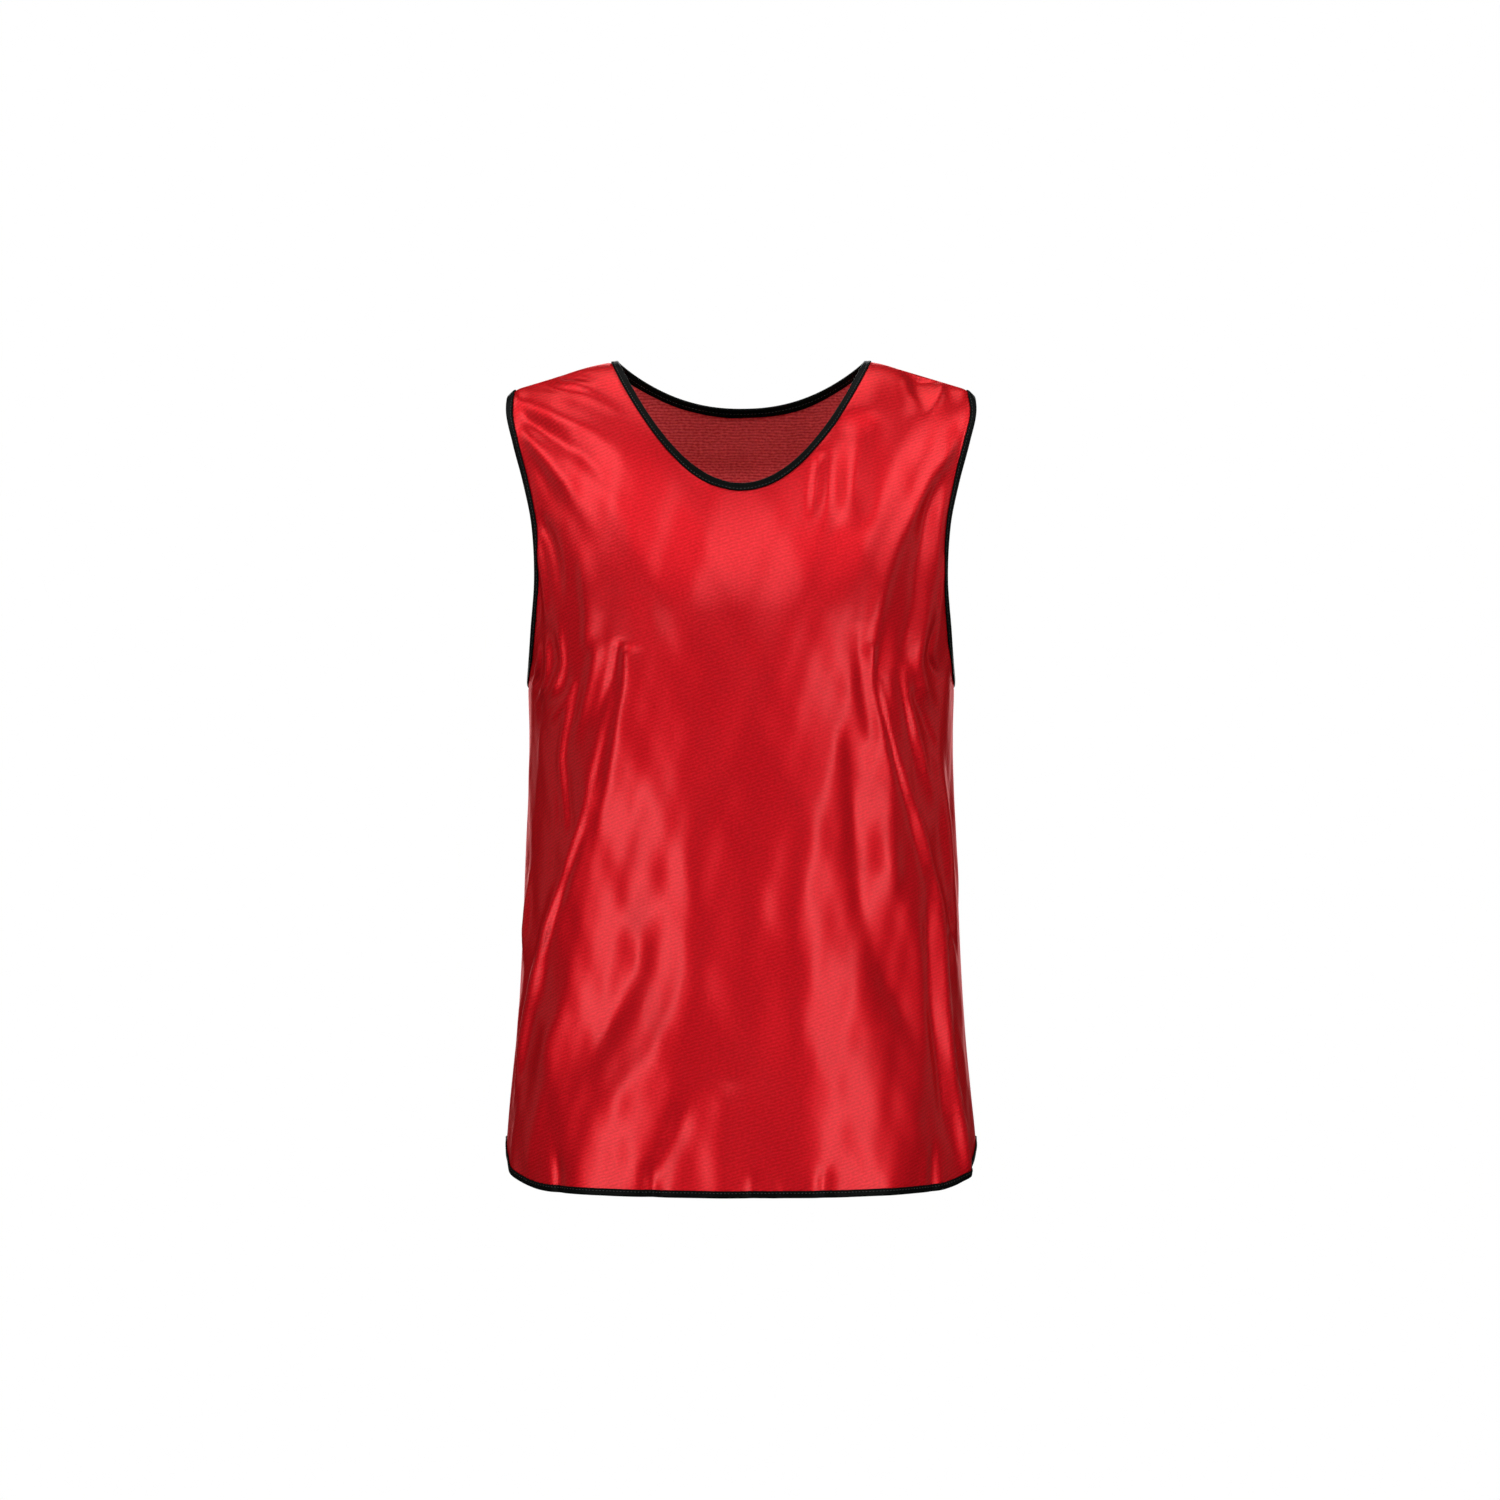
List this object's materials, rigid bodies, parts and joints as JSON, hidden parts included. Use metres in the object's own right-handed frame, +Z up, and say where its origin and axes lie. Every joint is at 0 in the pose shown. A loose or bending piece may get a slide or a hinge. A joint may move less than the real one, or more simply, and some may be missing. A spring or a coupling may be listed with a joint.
{
  "type": "training bib",
  "caption": "Sleeveless pull-over team training bib in light red satin knit, with black tape bound over its neckline, armholes and curved hem, filled out as when worn.",
  "frame": {"origin": "midway between the two shoulder seams, level with their neck ends, where the wearer's shoulders carry the bib", "axes": "+Z up, -Y out of the front panel, +X towards the wearer's left"},
  "size_m": [0.3972, 0.2471, 0.6896],
  "materials": {
    "satin_knit": "satin",
    "binding_tape": "matte"
  },
  "bodies": {
    "root": {"front_panel": "satin_knit", "back_panel": "satin_knit", "neck_binding": "binding_tape", "armhole_binding_left": "binding_tape", "armhole_binding_right": "binding_tape", "hem_binding": "binding_tape"}
  },
  "joints": []
}
